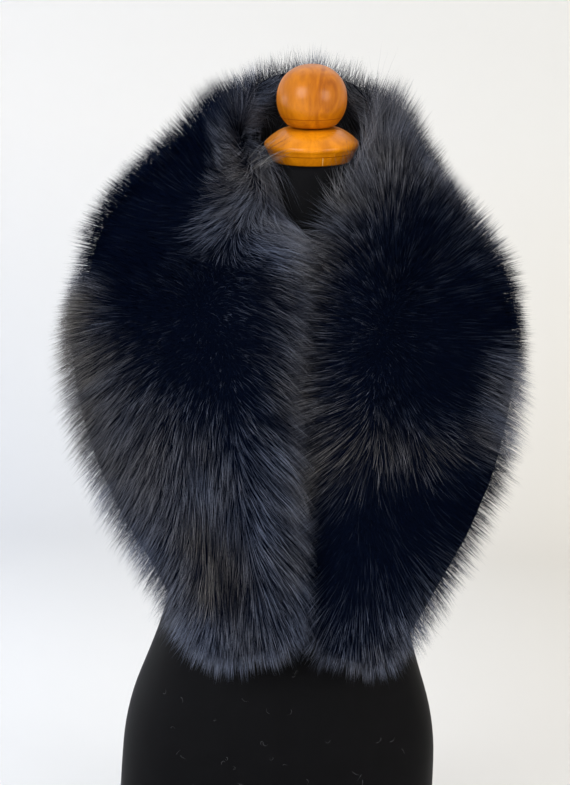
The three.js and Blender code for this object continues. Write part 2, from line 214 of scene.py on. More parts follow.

# How the front is combed, in strokes seen from the front. A row's columns: the place across and up (mm), the
# way the tips point (degrees, 0 to the right and 90 up), the stroke's reach (mm), how far the hair stands off
# (0 flat, 1 upright), how much sheen is painted into its colour (0 black, 1 light) and how brown that painted
# sheen is (0 blue, 1 brown).
COMB_STROKES = [
    # Viewer's left: round the knob and cap, and down beside the neck
    (-50, 870, 62, 20, 0.5, 0.18, 0.4), (-98, 832, 115, 23, 0.5, 0.00, 0.0),
    (-62, 862, 85, 13, 0.5, 0.30, 0.4), (-63, 834, -85, 15, 0.6, 0.40, 0.5),
    (-62, 805, -112, 16, 0.4, 0.48, 0.6), (-60, 768, -112, 18, 0.2, 0.56, 0.5),
    (-78, 786, -118, 14, 0.2, 0.50, 0.6), (-48, 735, -108, 20, 0.2, 0.46, 0.4),
    (-74, 724, -134, 18, 0.2, 0.62, 0.3), (-118, 775, 150, 22, 0.6, 0.00, 0.0),
    # the black lobe on the shoulder, and the bright fringe that falls over its edge
    (-108, 806, 130, 24, 0.6, 0.00, 0.0), (-155, 765, 140, 32, 0.7, 0.00, 0.0),
    (-138, 735, -150, 24, 0.9, 0.00, 0.0), (-180, 725, 150, 28, 0.7, 0.00, 0.0),
    (-125, 702, -145, 16, 0.4, 0.05, 0.0), (-200, 690, 160, 30, 0.7, 0.00, 0.0),
    (-92, 698, -148, 13, 0.2, 0.78, 0.2), (-165, 655, -160, 34, 0.9, 0.00, 0.0),
    (-190, 645, 170, 24, 0.8, 0.02, 0.1),
    # the swirl by the crease, and the flow over the front edge
    (-85, 672, -75, 15, 0.3, 0.20, 0.0), (-55, 690, -20, 17, 0.2, 0.80, 0.1),
    (-25, 690, -15, 18, 0.2, 0.60, 0.1), (-20, 655, -45, 22, 0.3, 0.34, 0.5),
    (-60, 650, -65, 24, 0.4, 0.10, 0.0), (-25, 615, -50, 22, 0.3, 0.28, 0.9),
    # the chest: black in the middle, brown towards the free edge and the parting
    (-155, 605, -70, 38, 0.9, 0.01, 0.0), (-105, 620, -10, 26, 0.6, 0.18, 0.0),
    (-70, 600, -35, 26, 0.5, 0.20, 0.0), (-105, 575, -50, 26, 0.7, 0.06, 0.0),
    (-222, 610, -150, 20, 0.4, 0.70, 1.3), (-225, 570, -138, 22, 0.4, 0.74, 1.3),
    (-195, 560, -108, 22, 0.3, 0.56, 0.9), (-155, 530, -80, 24, 0.3, 0.50, 0.0),
    (-75, 550, -60, 28, 0.6, 0.12, 0.0), (-35, 560, -55, 20, 0.4, 0.25, 0.8),
    (-30, 525, -55, 20, 0.4, 0.26, 0.6), (-65, 515, -60, 22, 0.5, 0.18, 0.0),
    (-212, 520, -118, 26, 0.3, 0.66, 1.2), (-185, 480, -98, 28, 0.3, 0.56, 0.8),
    (-145, 480, -86, 24, 0.3, 0.50, 0.8), (-110, 510, -75, 24, 0.4, 0.40, 0.1),
    (-25, 475, -50, 24, 0.3, 0.36, 0.5), (-75, 475, -65, 26, 0.3, 0.55, 0.0),
    # the lower part, down to the hem
    (-165, 430, -96, 28, 0.3, 0.54, 0.3), (-130, 430, -86, 22, 0.3, 0.52, 0.2),
    (-50, 435, -60, 20, 0.3, 0.60, 0.0), (-88, 405, -80, 18, 0.3, 0.28, 1.2),
    (-130, 375, -96, 24, 0.3, 0.60, 0.0), (-20, 395, -58, 22, 0.3, 0.52, 0.0),
    (-62, 345, -76, 19, 0.4, 0.24, 1.2), (-105, 315, -95, 24, 0.3, 0.66, 0.0),
    (-8, 330, -65, 20, 0.3, 0.50, 0.1), (-60, 275, -85, 26, 0.3, 0.60, 0.0),
    (-20, 285, -75, 22, 0.3, 0.52, 0.2),
    # Viewer's right: the lobe on the shoulder, with the fringe towards the neck
    (45, 865, 115, 22, 0.5, 0.18, 0.6), (78, 830, 95, 22, 0.4, 0.34, 0.7),
    (60, 795, 125, 20, 0.3, 0.50, 0.5), (95, 765, 98, 24, 0.3, 0.52, 0.7),
    (50, 750, 130, 22, 0.3, 0.66, 0.6), (28, 715, 160, 20, 0.3, 0.68, 0.9),
    (115, 805, 70, 24, 0.6, 0.25, 0.5), (112, 782, 75, 10, 0.5, 0.02, 0.0),
    (140, 755, 75, 22, 0.4, 0.40, 0.6), (22, 665, 185, 22, 0.4, 0.36, 0.9),
    (60, 710, 140, 20, 0.4, 0.32, 0.3), (170, 725, 60, 22, 0.4, 0.24, 0.2),
    # the black chest, from which the hair radiates
    (115, 700, 95, 34, 0.9, 0.01, 0.0), (65, 660, 175, 26, 0.6, 0.12, 0.1),
    (20, 610, -170, 20, 0.4, 0.29, 0.7), (60, 610, -165, 26, 0.5, 0.18, 0.1),
    (130, 620, -40, 48, 1.0, 0.01, 0.0), (160, 695, 65, 24, 0.5, 0.18, 0.0),
    (195, 640, 15, 26, 0.6, 0.02, 0.0), (213, 605, -5, 20, 0.6, 0.03, 0.0),
    (150, 555, -60, 30, 0.8, 0.02, 0.0), (90, 555, -130, 26, 0.7, 0.08, 0.0),
    # the bright fold at the right edge, and the brown band to the parting
    (197, 580, -30, 13, 0.3, 0.60, 0.2), (205, 555, -40, 15, 0.2, 0.90, 0.4),
    (190, 522, -50, 18, 0.3, 0.75, 0.4), (18, 550, -165, 20, 0.3, 0.30, 0.6),
    (50, 530, -155, 24, 0.4, 0.30, 0.5), (22, 470, -145, 22, 0.3, 0.32, 0.9),
    (60, 490, -130, 20, 0.3, 0.36, 1.0), (95, 492, -100, 20, 0.3, 0.38, 1.0),
    (130, 495, -75, 18, 0.3, 0.34, 1.0), (158, 500, -55, 16, 0.3, 0.25, 0.6),
    (45, 450, -125, 16, 0.3, 0.28, 0.8),
    # the black band and the hem
    (75, 435, -115, 22, 0.6, 0.04, 0.0), (120, 430, -85, 32, 0.8, 0.02, 0.0),
    (165, 450, -55, 28, 0.7, 0.02, 0.0), (50, 395, -105, 28, 0.7, 0.03, 0.0),
    (150, 385, -55, 24, 0.5, 0.15, 0.0), (95, 375, -90, 28, 0.6, 0.05, 0.0),
    (45, 345, -105, 24, 0.5, 0.08, 0.0), (90, 335, -85, 22, 0.4, 0.25, 0.0),
    (130, 340, -75, 22, 0.3, 0.45, 0.1), (65, 305, -95, 22, 0.4, 0.30, 0.1),
    (110, 305, -80, 22, 0.3, 0.45, 0.1), (35, 300, -95, 22, 0.4, 0.30, 0.1),
    (85, 272, -85, 22, 0.3, 0.45, 0.3),
]


def smooth(share):
    """A share from 0 to 1 that starts and ends softly."""
    share = np.clip(share, 0, 1)
    return share * share * (3 - 2 * share)


def ramp(values, start, span):
    """0 before the start and 1 past the span, with soft ends. A negative span runs the other way."""
    return smooth((values - start) / span)


def unit(vectors):
    return vectors / np.maximum(np.linalg.norm(vectors, axis=-1, keepdims=True), 1e-9)


def through(points, share):
    """A place on the smooth curve through a list of points."""
    last = len(points) - 1
    place = min(max(share, 0.0), 1.0) * last
    k = min(int(place), last - 1)
    t = place - k
    p1, p2 = points[k], points[k + 1]
    p0 = points[k - 1] if k > 0 else 2 * p1 - p2
    p3 = points[k + 2] if k + 2 <= last else 2 * p2 - p1
    bend = (2 * p0 - 5 * p1 + 4 * p2 - p3) * t**2
    return 0.5 * (2 * p1 + (p2 - p0) * t + bend + (3 * p1 - p0 - 3 * p2 + p3) * t**3)


def surface_of(mesh):
    """A mesh in the form that finds where a ray meets it, or its place nearest to a point."""
    return BVHTree.FromPolygons([v.co[:] for v in mesh.vertices], [p.vertices[:] for p in mesh.polygons])


class Pelt:
    """One pelt: its edges, and the solid whose inner and outer faces it finds with rays."""

    def __init__(self, side, edges, node):
        self.side = side
        self.inner, self.outer = (np.array(edge) for edge in zip(*edges))
        self.last_row = len(edges) - 1
        self.solid = surface_of(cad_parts[node].data)

    def middle(self, share):
        return (through(self.inner, share) + through(self.outer, share)) / 2

    def frame_at(self, share):
        """Its two edges at a share of its length, the way along it and the way off it."""
        inner, outer = through(self.inner, share), through(self.outer, share)
        step = 0.5 / self.last_row
        along = unit(self.middle(min(share + step, 1)) - self.middle(max(share - step, 0)))
        off = unit(np.cross(along, outer - inner))
        off[0] *= smooth(share * self.last_row)
        return inner, outer, along, unit(off)

    def placed(self, point):
        """A point of the list of edges on this side, with the parting's swing."""
        parting = PARTING_SHIFT * ramp(point[2], PARTING_FROM, -PARTING_SPAN)
        return np.array([self.side * point[0] + parting, point[1], point[2]])

    def turned(self, way):
        """The same for a direction."""
        return np.array([self.side * way[0], way[1], way[2]])

    def place(self, share, scale, advance, across):
        """The leather's point at a place, the room over it and behind it, and the directions there."""
        inner, outer, along, off = self.frame_at(share)
        base = inner + (outer - inner) * (0.5 + (across - 0.5) * scale) + along * advance
        start, chord = self.placed(base + off * RAY_START), self.placed(base)
        off = self.turned(off)
        down = Vector(-off)
        top = self.solid.ray_cast(Vector(start), down)[0]
        if top is None:
            top = bottom = self.solid.find_nearest(Vector(chord))[0]
        else:
            bottom = self.solid.ray_cast(top + down * 1e-4, down)[0] or top
        low, high = (float(np.dot(np.array(point) - chord, off)) for point in (bottom, top))
        rest = min(max(low + LEATHER_CLEARANCE, 0.0), max(high, low + LEATHER_CLEARANCE))
        ways = {"along": self.turned(along), "out": unit(self.turned(outer - inner)), "off": off}
        return chord + off * rest, high - rest, rest - low, ways

    def stations(self):
        """Each section's share of the length, scale and advance; the last ones round the hem."""
        body = [(share, 1.0, 0.0) for share in np.linspace(0.0006, HEM_FROM, STATIONS)]
        angles = [math.pi / 2 * step / HEM_STEPS for step in range(1, HEM_STEPS)]
        return body + [(HEM_FROM, math.cos(a), HEM_LENGTH * HEM_SHARE * math.sin(a)) for a in angles]


def new_object(name, data):
    made = bpy.data.objects.new(name, data)
    bpy.context.scene.collection.objects.link(made)
    return made


def mesh_object(name, points, faces):
    mesh = bpy.data.meshes.new(name)
    mesh.from_pydata([tuple(p) for p in points], [], faces)
    mesh.update()
    return new_object(name, mesh)


def face_outwards(piece):
    made = bmesh.new()
    made.from_mesh(piece.data)
    bmesh.ops.recalc_face_normals(made, faces=made.faces)
    made.to_mesh(piece.data)
    made.free()


def shade_smooth(piece):
    piece.data.polygons.foreach_set("use_smooth", [True] * len(piece.data.polygons))


def closed_piece(name, points, faces):
    """A smooth closed piece whose faces point outwards."""
    piece = mesh_object(name, points, faces)
    face_outwards(piece)
    shade_smooth(piece)
    return piece


def loft(name, rings):
    """A closed skin through rings of equally many points, its two ends closed."""
    around = len(rings[0])
    faces = []
    for ring in range(len(rings) - 1):
        for step in range(around):
            a, b = ring * around + step, ring * around + (step + 1) % around
            faces.append((a, b, b + around, a + around))
    faces.append(tuple(range(around)))
    last = (len(rings) - 1) * around
    faces.append(tuple(last + step for step in reversed(range(around))))
    return closed_piece(name, [p for ring in rings for p in ring], faces)


def set_values(mesh, name, values, kind="FLOAT"):
    layer = mesh.attributes.new(name, kind, "POINT")
    key = "vector" if kind == "FLOAT_VECTOR" else "value"
    layer.data.foreach_set(key, np.asarray(values, np.float32).ravel())


def underfur(pelt, name):
    """The dense short wool under the long hair: a closed body that also carries the comb."""
    rings, places = [], []
    for share, scale, advance in pelt.stations():
        top, bottom, marks = [], [], []
        for step in range(ACROSS + 1):
            even = step / ACROSS
            crowded = EDGE_CROWDING * (0.5 - 0.5 * math.cos(math.pi * even)) + (1 - EDGE_CROWDING) * even
            across = UNDERFUR_INSETS[0] + (1 - UNDERFUR_INSETS[0] - UNDERFUR_INSETS[1]) * crowded
            skin, over, behind, ways = pelt.place(share, scale, advance, across)
            dome = max(0.0, 1 - abs(2 * even - 1) ** 3) ** 0.5
            height = max(over - PILE_DEPTH, UNDERFUR_SHARE * over) * dome
            height *= HEM_HEIGHT + (1 - HEM_HEIGHT) * scale
            low = skin + ways["off"] * (LEATHER_THICKNESS + UNDERFUR_GAP)
            top.append(low + ways["off"] * max(height, THINNEST_UNDERFUR))
            bottom.append(low)
            tail = ramp(share, TAIL_FROM, TAIL_SPAN)
            mark = {"across": across, "edge": 1 - dome, "behind": behind, "tail": tail, "outer": True}
            marks.append({**mark, **ways})
        rings.append(top + bottom[1:-1][::-1])
        places += marks + [{**mark, "outer": False} for mark in marks[1:-1][::-1]]
    piece = loft(name, rings)
    swell(piece, places)
    comb(piece, places)
    return piece


def gathered(places, *keys):
    """A list of what all places say, for each key."""
    return [np.array([place[key] for place in places]) for key in keys]


def swell(piece, places):
    """Rounds the underfur's outer edge out to where the hair is dense enough to hide what is behind it."""
    across, edge, tail = gathered(places, "across", "edge", "tail")
    by = EDGE_SWELL * ramp(edge, 0.1, 0.5) * np.maximum(ramp(across, 0.6, 0.2), tail)
    normals = np.array([vertex.normal[:] for vertex in piece.data.vertices])
    for vertex, move in zip(piece.data.vertices, normals * by[:, None]):
        vertex.co += Vector(move)
    piece.data.update()


def vertex_values(mesh, key):
    """A mesh's points or normals, a row for each vertex."""
    values = np.empty(len(mesh.vertices) * 3)
    mesh.vertices.foreach_get(key, values)
    return values.reshape(-1, 3)


def blended_strokes(points, lay, seen):
    """How the hair lies at each point, stands, how much sheen is painted into its colour and how brown that
    is, and how far the strokes part there.
    """
    way = lay * NATURAL_WEIGHT
    weights = np.full(len(points), NATURAL_WEIGHT)
    sums = {key: np.full(len(points), value) for key, value in NATURAL_SUMS.items()}
    for x, z, heading, reach, *values in COMB_STROKES:
        squared = (points[:, 0] - x / 1000) ** 2 + (points[:, 2] - z / 1000) ** 2
        weight = seen * np.exp(-squared / 2 / (reach / 1000) ** 2) * STROKE_WEIGHT
        turn = math.radians(heading)
        way += weight[:, None] * np.array([math.cos(turn), 0, math.sin(turn)])
        for key, value in zip(sums, values):
            sums[key] += weight * value
        weights += weight
    stand, painted_sheen, brown = (total / weights for total in sums.values())
    parted = 1 - np.linalg.norm(way, axis=1) / weights
    return unit(way), stand, painted_sheen, brown, parted


def tip_shares(lean):
    """How far off the skin a hair's tip is, and how far along it, as shares of its length."""
    start, end = (
        unit(np.stack([lying + more * lean for lying, more in shares], 1)) for shares in (ROOT_LEAN, TIP_LEAN)
    )
    return ((start + end) / 2).T


def hair_length(points, normals, flat, lean, tail):
    """As long as the hair's lean and the room inside the allowed box let it be, and shorter at the hem."""
    low, high = (np.array(corner) for corner in cad_box)
    margin = OVERHANG[0] * (high - low) + OVERHANG[1]
    lift, reach = tip_shares(lean)
    ways = normals * lift[:, None] + flat * reach[:, None]
    room = np.where(ways > 0, high + margin - points, points - low + margin)
    room = (room / np.maximum(np.abs(ways), 0.05)).min(1)
    length = np.clip(HAIR_RISE / np.maximum(lift, 0.3), *HAIR_LENGTHS) * (1 - 0.2 * tail)
    return np.minimum(length, room / LONGEST_HAIR)


def comb(piece, places):
    """Writes on each point of the underfur how the hair grows there."""
    mesh = piece.data
    points, normals = vertex_values(mesh, "co"), vertex_values(mesh, "normal")
    across, edge, behind, tail, outer = gathered(places, "across", "edge", "behind", "tail", "outer")
    along, out = gathered(places, "along", "out")
    height = points[:, 2]

    # The natural lay runs away from a line nearer the inner edge, and along the pelt to the hem
    lay = unit(out * (2.4 * (across - 0.36))[:, None] + along * 0.8)
    seen = ramp(-normals[:, 1], -0.45, 0.7) * (1 - ramp(points[:, 1], 0.11, 0.05))
    lay, stand, painted_sheen, brown, parted = blended_strokes(points, lay, seen)

    # Where the neck's opening, the collar's standing edge and the hair beside the cap are
    inward = smooth(-normals[:, 0] * np.sign(points[:, 0]) / 0.7) * ramp(across, 0.4, -0.2)
    by_neck = inward * ramp(height, NECK_HEIGHTS[0], 0.03) * (1 - ramp(height, NECK_HEIGHTS[1], 0.03))
    collar_edge = ramp(across, 0.24, -0.16) * ramp(height, STANDING_EDGE_FROM, 0.04)
    near_cap = collar_edge * ramp(height, CAP_HEIGHTS[0], 0.025) * (1 - ramp(height, CAP_HEIGHTS[1], 0.03))

    # Hair stands more where the comb points off the skin or its strokes part, and lies flat by the neck
    off = (lay * normals).sum(1)
    kept_off = 0.5 * np.maximum(off, 0) ** 3 * (1 - by_neck)
    flat = unit(lay - normals * (off - kept_off)[:, None])
    stand = np.clip(stand + 0.45 * np.maximum(off, 0) + parted**2, 0, 1) * (1 - 0.9 * by_neck)
    lean = np.sin(np.radians(HAIR_ANGLES[0] + HAIR_ANGLES[1] * stand))
    length = hair_length(points, normals, flat, lean, tail) * (1 + 0.6 * near_cap)
    short = np.clip(behind * 1.3, 0.012, 0.036) + 0.012 * collar_edge

    # Hair is densest round the edges, and grows behind them as far as there is room for it
    wrapped = np.clip(ramp(across, 0.45, -0.12) + ramp(across, 0.72, 0.12), 0, 1)
    behind_cover = 0.8 * wrapped * ramp(behind, 0.004, 0.006) + 2.0 * collar_edge
    sideways = np.exp(-((normals[:, 1] / 0.3) ** 2))
    rim = 1.4 * ramp(edge, 0.12, 0.35) + (1.7 + 1.5 * stand) * sideways
    # On the inner face by the standing edge, more painted sheen lightens the hair that lies in shade beside
    # the knob
    painted_sheen = np.where(outer, painted_sheen, np.maximum(painted_sheen, 0.58 * collar_edge))
    cover = 0.38 + 1.05 * np.sqrt(painted_sheen) + rim + 1.8 * parted + 1.2 * collar_edge
    cover = np.where(outer, cover, behind_cover)

    set_values(mesh, "comb", flat, "FLOAT_VECTOR")
    set_values(mesh, "stand", lean)
    set_values(mesh, "length", np.where(outer, length, short))
    set_values(mesh, "painted_sheen", painted_sheen)
    set_values(mesh, "brown", brown)
    set_values(mesh, "front_cover", cover * seen)
    set_values(mesh, "back_cover", cover * (1 - seen))


def leather(pelt, name):
    """The pelt's skin: a thin sheet that lies on the form, under the hair."""
    rows = pelt.stations()
    places = np.linspace(LEATHER_INSETS[0], 1 - LEATHER_INSETS[1], LEATHER_ACROSS)
    near, far, faces = [], [], []
    for share, scale, advance in rows:
        for across in places:
            skin, _, _, ways = pelt.place(share, scale, advance, across)
            near.append(skin)
            far.append(skin + ways["off"] * LEATHER_THICKNESS)
    wide, deep = len(places), len(rows)
    second = len(near)
    for row in range(deep - 1):
        for step in range(wide - 1):
            a = row * wide + step
            faces.append((a, a + 1, a + 1 + wide, a + wide))
            faces.append((second + a, second + a + wide, second + a + 1 + wide, second + a + 1))
    rim = list(range(wide))
    rim += [row * wide + wide - 1 for row in range(1, deep)]
    rim += [(deep - 1) * wide + step for step in range(wide - 2, -1, -1)]
    rim += [row * wide for row in range(deep - 2, 0, -1)]
    for here, after in zip(rim, rim[1:] + rim[:1]):
        faces.append((here, second + here, second + after, after))
    return closed_piece(name, near + far, faces)


def threads(name, paths, radius):
    """Thin three-sided threads along lists of points, narrower towards the far end."""
    points, faces, along = [], [], []
    for path in paths:
        last = len(path) - 1
        for step, point in enumerate(path):
            way = unit(path[min(step + 1, last)] - path[max(step - 1, 0)])
            side = unit(np.cross(way, (0.31, 0.52, 0.79)))
            other = np.cross(way, side)
            width = radius * (1 - 0.85 * step / last)
            first = len(points)
            points += [point + width * (side * math.cos(a) + other * math.sin(a)) for a in THREAD_ANGLES]
            along += [step / last] * len(THREAD_ANGLES)
            if step:
                for k, after in ((0, 1), (1, 2), (2, 0)):
                    faces.append((first + k, first + after, first - 3 + after, first - 3 + k))
            if step in (0, last):
                faces.append((first, first + 1, first + 2))
    piece = closed_piece(name, points, faces)
    set_values(piece.data, "along", along)
    return piece


def cap_wisps(wool_body):
    """The few long hairs that lie over the cap's left lower edge."""
    chance = np.random.default_rng(12)
    wool = surface_of(wool_body.data)
    paths, shades = [], []
    for _ in range(WISPS):
        start = WISP_ROOT + chance.uniform(-1, 1, 3) * WISP_SPREAD
        root = np.array(wool.find_nearest(Vector(start))[0])
        tip = start + WISP_REACH * chance.uniform(0.55, 1.1) + chance.normal(0, 0.003, 3)
        middle = (root + tip) / 2 + WISP_ARCH
        shares = np.linspace(0, 1, WISP_POINTS)
        paths.append([(1 - t) ** 2 * root + 2 * t * (1 - t) * middle + t * t * tip for t in shares])
        shades += [chance.uniform(0.3, 0.95)] * (WISP_POINTS * len(THREAD_ANGLES))
    piece = threads("cap_wisps", paths, WISP_RADIUS)
    set_values(piece.data, "shade", shades)
    # The wisps' colours carry an even share of painted sheen
    set_values(piece.data, "painted_sheen", [0.34] * len(shades))
    set_values(piece.data, "brown", [0.9] * len(shades))
    return piece


def lint():
    """Short pale fibres that cling to the jersey below the collar."""
    chance = np.random.default_rng(4)
    form = surface_of(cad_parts["dress_form"].data)
    paths = []
    while len(paths) < LINT_FIBRES:
        x, z = chance.uniform(*LINT_ACROSS), chance.uniform(*LINT_UP)
        turn, curl = chance.uniform(0, 2 * math.pi), chance.normal(0, 0.5)
        path = []
        for _ in range(LINT_POINTS):
            place, normal, _, _ = form.ray_cast(Vector((x, -0.4, z)), Vector((0, 1, 0)))
            path.append(np.array(place + normal * LINT_LIFT))
            step = chance.uniform(0.0006, 0.0017)
            x, z, turn = x + step * math.cos(turn), z + step * math.sin(turn), turn + curl
        paths.append(path)
    return threads("lint", paths, LINT_RADIUS)


class Nodes:
    """Adds nodes to a tree and joins them, with few words."""

    def __init__(self, tree):
        self.tree = tree

    def add(self, kind, inputs=None, **settings):
        node = self.tree.nodes.new(kind)
        for key, value in settings.items():
            setattr(node, key, value)
        self.fill(node, inputs or {})
        return node

    def fill(self, node, inputs):
        for key, value in inputs.items():
            self.feed(node.inputs[key], value)

    def feed(self, socket, value):
        if isinstance(value, bpy.types.NodeSocket):
            self.tree.links.new(value, socket)
        elif value is not None:
            socket.default_value = value

    def math(self, operation, a, b=None):
        return self.add("ShaderNodeMath", {0: a, 1: b}, operation=operation).outputs[0]

    def plus(self, a, b):
        return self.math("ADD", a, b)

    def minus(self, a, b):
        return self.math("SUBTRACT", a, b)

    def times(self, a, b):
        return self.math("MULTIPLY", a, b)

    def above(self, value, floor):
        """How far a value is above a floor, and 0 under it."""
        return self.math("MAXIMUM", self.minus(value, floor), 0.0)

    def vector(self, operation, a, b=None):
        node = self.add("ShaderNodeVectorMath", {0: a, 1: b}, operation=operation)
        return node.outputs["Value" if operation == "DOT_PRODUCT" else "Vector"]

    def scaled(self, vector, by):
        inputs = {"Vector": vector, "Scale": by}
        return self.add("ShaderNodeVectorMath", inputs, operation="SCALE").outputs["Vector"]

    def total(self, *vectors):
        added = vectors[0]
        for vector in vectors[1:]:
            added = self.vector("ADD", added, vector)
        return added

    def parts(self, vector):
        return self.add("ShaderNodeSeparateXYZ", {0: vector}).outputs

    def noise(self, place, scale, detail, **more):
        inputs = {"Vector": place, "Scale": scale, "Detail": detail, **more}
        return self.add("ShaderNodeTexNoise", inputs).outputs["Fac"]


class Grower(Nodes):
    """The same for Geometry Nodes, with named attributes."""

    def read(self, name, kind="FLOAT"):
        node = self.add("GeometryNodeInputNamedAttribute", {"Name": name}, data_type=kind)
        return node.outputs["Attribute"]

    def read_way(self, name):
        return self.read(name, "FLOAT_VECTOR")

    def store(self, geometry, name, value, kind="FLOAT"):
        inputs = {"Geometry": geometry, "Name": name, "Value": value}
        node = self.add("GeometryNodeStoreNamedAttribute", inputs, data_type=kind, domain="POINT")
        return node.outputs["Geometry"]

    def random(self, low, high, seed, number, kind="FLOAT"):
        """A random value for each number, the same whenever it is asked for."""
        node = self.add("FunctionNodeRandomValue", data_type=kind)
        sockets = [socket for socket in node.inputs if socket.enabled]
        named = {socket.name: socket for socket in sockets}
        self.feed(sockets[0], low)
        self.feed(sockets[1], high)
        self.feed(named["ID"], number)
        self.feed(named["Seed"], seed)
        return next(socket for socket in node.outputs if socket.enabled)


def hair_roots(grow, given):
    """The points where hairs stand, with all that is each hair's own or its lock's own."""
    seed = given["Seed"]
    spread = grow.add("GeometryNodeDistributePointsOnFaces", {
        "Mesh": given["Geometry"],
        "Density": grow.times(given["Hairs per square metre"], grow.read(given["Where"])),
        "Seed": seed,
    }, distribute_method="RANDOM").outputs
    locks = grow.add("GeometryNodeDistributePointsOnFaces", {
        "Mesh": given["Geometry"],
        "Distance Min": given["Lock spacing"],
        "Density Max": MOST_LOCKS,
        "Seed": seed,
    }, distribute_method="POISSON").outputs["Points"]
    position = grow.add("GeometryNodeInputPosition").outputs[0]
    index = grow.add("GeometryNodeInputIndex").outputs[0]
    lock = grow.add("GeometryNodeSampleNearest", {"Geometry": locks}, domain="POINT").outputs["Index"]
    middle = grow.add("GeometryNodeSampleIndex", {
        "Geometry": locks, "Value": position, "Index": lock,
    }, data_type="FLOAT_VECTOR", domain="POINT").outputs["Value"]

    own_stray = grow.random((-1, -1, -1), (1, 1, 1), seed, index, "FLOAT_VECTOR")
    lock_stray = grow.random((-1, -1, -1), (1, 1, 1), 77, lock, "FLOAT_VECTOR")
    stray = grow.total(grow.scaled(own_stray, 0.7), grow.scaled(lock_stray, 0.8))
    own_length = grow.random(given["Shortest"], 1.12, grow.plus(seed, 11), index)
    lock_length = grow.random(0.85, 1.12, 31, lock)
    reach = grow.times(grow.read("length"), grow.times(own_length, lock_length))
    own_shade = grow.random(0.0, 1.0, grow.plus(seed, 23), index)
    lock_shade = grow.random(0.0, 1.0, 53, lock)
    shade = grow.plus(grow.times(own_shade, 0.6), grow.times(lock_shade, 0.4))
    drift = grow.times(grow.minus(grow.noise(position, 22.0, 2.0), 0.5), 1.6)

    points = spread["Points"]
    pull, stray = grow.vector("SUBTRACT", middle, position), grow.scaled(stray, given["Unruliness"])
    for name, way in (("root", position), ("up", spread["Normal"]), ("pull", pull), ("stray", stray)):
        points = grow.store(points, name, way, "FLOAT_VECTOR")
    reach, brown = grow.times(reach, given["Length"]), grow.plus(grow.read("brown"), drift)
    for name, value in (("reach", reach), ("shade", shade), ("brown", brown)):
        points = grow.store(points, name, value)
    return points


def hair_spike(grow, given):
    """A closed three-sided spike that knows how far along it, and how far round it, each of its points is."""
    spike = grow.add("GeometryNodeMeshCone", {
        "Vertices": 3,
        "Side Segments": given["Bends"],
        "Radius Top": 0.0,
        "Radius Bottom": 1.0,
        "Depth": 1.0,
    }, fill_type="NGON").outputs["Mesh"]
    place = grow.parts(grow.add("GeometryNodeInputPosition").outputs[0])
    spike = grow.store(spike, "along", place["Z"])
    round_it = grow.add("ShaderNodeCombineXYZ", {0: place["X"], 1: place["Y"]}).outputs[0]
    return grow.store(spike, "rim", round_it, "FLOAT_VECTOR")


def leaning(grow, lean, *others):
    """A way between the skin's own and the comb's, by how the hair stands there."""
    lying_up, lying_along = (grow.plus(grow.times(grow.read("stand"), more), lying) for lying, more in lean)
    up = grow.scaled(grow.read_way("up"), lying_up)
    along = grow.scaled(grow.read_way("comb"), lying_along)
    return grow.vector("NORMALIZE", grow.total(up, along, *others))


def hair_places(grow, given):
    """Where a hair's points go: it starts nearly upright, ends along the comb and is drawn to its lock."""
    along, stray = grow.read("along"), grow.read_way("stray")
    start = leaning(grow, ROOT_LEAN, grow.scaled(stray, 0.5))
    end = leaning(grow, TIP_LEAN, stray, DROOP)
    half = grow.times(grow.times(along, along), 0.5)
    path = grow.total(grow.scaled(start, grow.minus(along, half)), grow.scaled(end, half))
    gather = grow.times(grow.math("POWER", along, 1.3), given["Lock pull"])
    drawn = grow.scaled(grow.read_way("pull"), gather)
    spine = grow.total(grow.read_way("root"), grow.scaled(path, grow.read("reach")), drawn)

    side = grow.vector("CROSS_PRODUCT", end, grow.total(grow.read_way("up"), grow.scaled(stray, 0.3)))
    side = grow.vector("NORMALIZE", side)
    other = grow.vector("CROSS_PRODUCT", side, end)
    rim = grow.parts(grow.read_way("rim"))
    width = grow.times(given["Thickness"], grow.plus(0.7, grow.times(along, 0.8)))
    girth = grow.total(
        grow.scaled(side, grow.times(rim["X"], width)), grow.scaled(other, grow.times(rim["Y"], width)),
    )
    return grow.vector("ADD", spine, girth)


def hair_tree():
    """Grows combed hair, a closed three-sided spike each, on a skin that carries its comb."""
    tree = bpy.data.node_groups.new("combed_hair", "GeometryNodeTree")
    tree.interface.new_socket("Geometry", in_out="INPUT", socket_type="NodeSocketGeometry")
    for name, kind in HAIR_INPUTS.items():
        tree.interface.new_socket(name, in_out="INPUT", socket_type=f"NodeSocket{kind}")
    tree.interface.new_socket("Geometry", in_out="OUTPUT", socket_type="NodeSocketGeometry")
    grow = Grower(tree)
    given = grow.add("NodeGroupInput").outputs
    roots = {"Points": hair_roots(grow, given), "Instance": hair_spike(grow, given)}
    stood = grow.add("GeometryNodeInstanceOnPoints", roots).outputs["Instances"]
    hair = grow.add("GeometryNodeRealizeInstances", {"Geometry": stood}).outputs["Geometry"]
    places = {"Geometry": hair, "Position": hair_places(grow, given)}
    hair = grow.add("GeometryNodeSetPosition", places).outputs[0]
    hair = grow.add("GeometryNodeSetShadeSmooth", {"Geometry": hair}).outputs[0]
    for name in USED_UP:
        hair = grow.add("GeometryNodeRemoveAttribute", {"Geometry": hair, "Name": name}).outputs[0]
    finish = {"Geometry": hair, "Material": given["Material"]}
    grow.add("NodeGroupOutput", {"Geometry": grow.add("GeometryNodeSetMaterial", finish).outputs[0]})
    return tree


